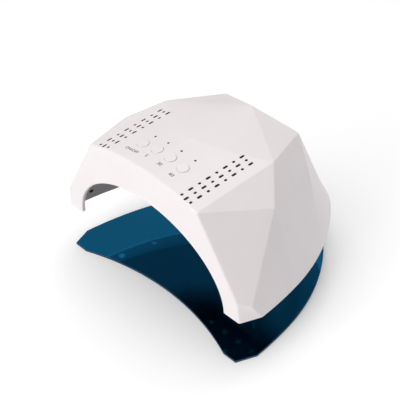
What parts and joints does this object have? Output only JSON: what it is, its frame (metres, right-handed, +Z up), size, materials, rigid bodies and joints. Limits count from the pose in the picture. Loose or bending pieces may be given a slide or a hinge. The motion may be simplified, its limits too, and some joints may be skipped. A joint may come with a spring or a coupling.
{
  "type": "uv nail lamp",
  "caption": "Faceted dome-shaped nail-curing lamp with an open front bay for the hand, push buttons, vent slots and a loose mirrored base plate that the hood lifts off.",
  "frame": {"origin": "bottom centre of the bounding box: the middle of the lamp, on the surface it stands on", "axes": "+X to the lamp's left-hand side seen from the front, -Y out of the open front, +Z up"},
  "size_m": [0.2172, 0.1885, 0.1398],
  "materials": {
    "white_casing": "satin",
    "button_white": "satin",
    "reflector_grey": "satin",
    "white_board": "painted white",
    "green_board": "satin",
    "diode_lens": "glossy",
    "black_plastic": "matte",
    "switch_plunger": "matte",
    "indicator": "glossy",
    "indicator_lens": "smoked",
    "coil_core": "matte",
    "header_cream": "matte",
    "capacitor_can": "satin",
    "screw_steel": "satin",
    "magnet_nickel": "nickel plated",
    "lead_black": "matte",
    "pin_brass": "bright",
    "plate_sheet": "glossy",
    "mirror_blue": "polished blue mirror"
  },
  "bodies": {
    "hood": {"hood_shell": "white_casing", "reflector": "reflector_grey", "led_board_ceiling": "white_board", "led_board_left": "white_board", "led_board_right": "white_board", "led_board_rear": "white_board", "uv_diodes_ceiling": "diode_lens", "uv_diodes_left": "diode_lens", "uv_diodes_right": "diode_lens", "uv_diodes_rear": "diode_lens", "sensor_board": "green_board", "hand_sensor": "black_plastic", "control_board": "green_board", "tact_switches": "black_plastic", "indicator_leds": "indicator", "indicator_lenses": "indicator_lens", "microcontroller": "black_plastic", "choke_coil": "coil_core", "lead_header": "header_cream", "capacitors": "capacitor_can", "board_screws": "screw_steel", "board_leads": "lead_black", "power_lead": "lead_black", "case_screws": "screw_steel", "plate_magnets": "magnet_nickel", "power_socket": "black_plastic", "socket_pin": "pin_brass"},
    "plate": {"base_plate": "plate_sheet", "mirror_film": "mirror_blue", "keeper_discs": "magnet_nickel"},
    "button_1": {"button_1": "button_white", "switch_plunger_1": "switch_plunger"},
    "button_2": {"button_2": "button_white", "switch_plunger_2": "switch_plunger"},
    "button_3": {"button_3": "button_white", "switch_plunger_3": "switch_plunger"},
    "button_4": {"button_4": "button_white", "switch_plunger_4": "switch_plunger"}
  },
  "joints": [
    {"name": "plate_lift", "type": "slide", "parent": "hood", "child": "plate", "axis": [0, 0, 1], "range_m": [0, 0.0419]},
    {"name": "button_1_press", "type": "slide", "parent": "hood", "child": "button_1", "axis": [0, 0.0704, -0.9975], "range_m": [0, 0.0005], "stiffness_N_per_m": 2000, "springref_m": -0.0005},
    {"name": "button_2_press", "type": "slide", "parent": "hood", "child": "button_2", "axis": [0, 0.0704, -0.9975], "range_m": [0, 0.0005], "stiffness_N_per_m": 2000, "springref_m": -0.0005},
    {"name": "button_3_press", "type": "slide", "parent": "hood", "child": "button_3", "axis": [0, 0.0704, -0.9975], "range_m": [0, 0.0005], "stiffness_N_per_m": 2000, "springref_m": -0.0005},
    {"name": "button_4_press", "type": "slide", "parent": "hood", "child": "button_4", "axis": [0, 0.0704, -0.9975], "range_m": [0, 0.0005], "stiffness_N_per_m": 2000, "springref_m": -0.0005}
  ]
}
